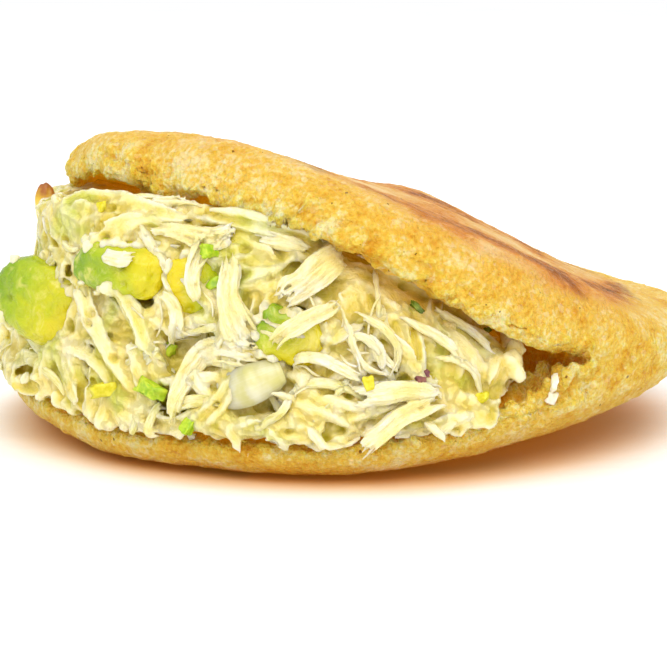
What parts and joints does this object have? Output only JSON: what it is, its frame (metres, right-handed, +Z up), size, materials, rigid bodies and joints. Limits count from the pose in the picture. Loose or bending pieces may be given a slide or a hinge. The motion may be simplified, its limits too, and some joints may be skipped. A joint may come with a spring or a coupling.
{
  "type": "stuffed corn cake",
  "caption": "Round griddled corn cake, split open like a pocket and filled with a creamy chicken and avocado salad.",
  "frame": {"origin": "on the table, under the middle of the whole box", "axes": "+Z up from the table; -Y out of the front of the mouth; +X towards the closed side of the cake"},
  "size_m": [0.118, 0.1204, 0.0512],
  "materials": {
    "corn_cake": "griddled corn dough, grainy at its torn edges and browned on its faces",
    "chicken_salad": "wet creamy salad of shredded chicken",
    "avocado": "ripe avocado flesh, soft and moist",
    "onion": "translucent onion",
    "chicken": "boiled chicken breast in fibres"
  },
  "bodies": {
    "root": {"corn_cake": "corn_cake", "chicken_salad": "chicken_salad", "avocado_outer": "avocado", "avocado_upper": "avocado", "avocado_inner": "avocado", "avocado_middle": "avocado", "onion_piece": "onion", "chicken_chunk": "chicken", "chicken_shred_middle": "chicken", "chicken_shred_low": "chicken"}
  },
  "joints": []
}
